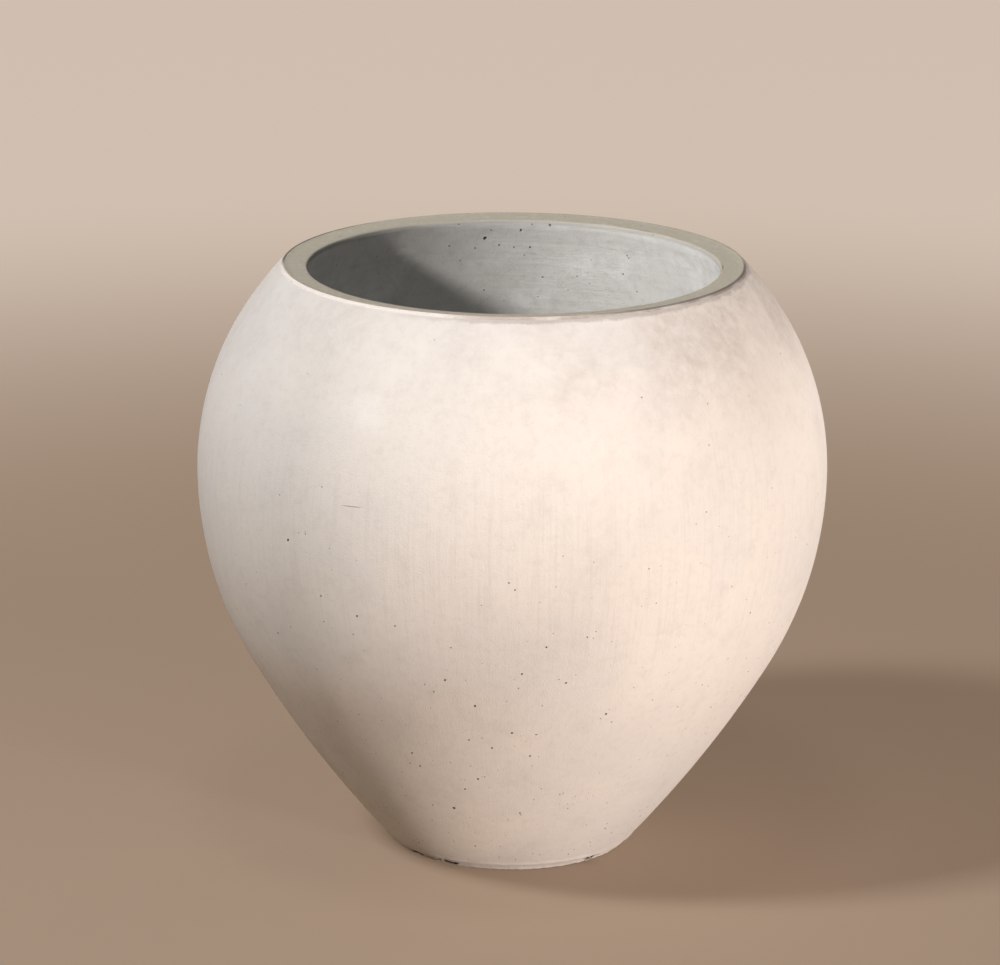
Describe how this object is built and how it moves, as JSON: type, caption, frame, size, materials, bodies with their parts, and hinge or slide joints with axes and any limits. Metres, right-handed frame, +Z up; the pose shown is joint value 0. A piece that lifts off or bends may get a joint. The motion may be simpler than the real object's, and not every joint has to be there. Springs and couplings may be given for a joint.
{
  "type": "concrete flower pot",
  "caption": "Egg-shaped concrete flower pot with a pale pitted face, a flat grey rim, an open mouth, a narrow foot and a drained floor.",
  "frame": {"origin": "middle of the foot, on the ground", "axes": "+Z up along the pot's axis, from the foot to the rim; the pot is round, so +X and +Y are free"},
  "size_m": [0.4019, 0.402, 0.38],
  "materials": {
    "face_concrete": "pale cast face, pitted",
    "backing_concrete": "grey, unfinished",
    "inner_concrete": "grey, trowelled",
    "floor_concrete": "grey, trowelled",
    "sleeve_plastic": "extruded pipe",
    "cage_wire": "galvanised wire"
  },
  "bodies": {
    "root": {"face_coat": "face_concrete", "backing_coat": "backing_concrete", "inner_coat": "inner_concrete", "floor_slab": "floor_concrete", "drain_sleeve": "sleeve_plastic", "foot_hoop": "cage_wire", "flank_hoop": "cage_wire", "belly_hoop": "cage_wire", "shoulder_hoop": "cage_wire", "rim_hoop": "cage_wire", "upright_wire_1": "cage_wire", "upright_wire_2": "cage_wire", "upright_wire_3": "cage_wire", "upright_wire_4": "cage_wire", "upright_wire_5": "cage_wire", "upright_wire_6": "cage_wire", "upright_wire_7": "cage_wire", "upright_wire_8": "cage_wire"}
  },
  "joints": []
}
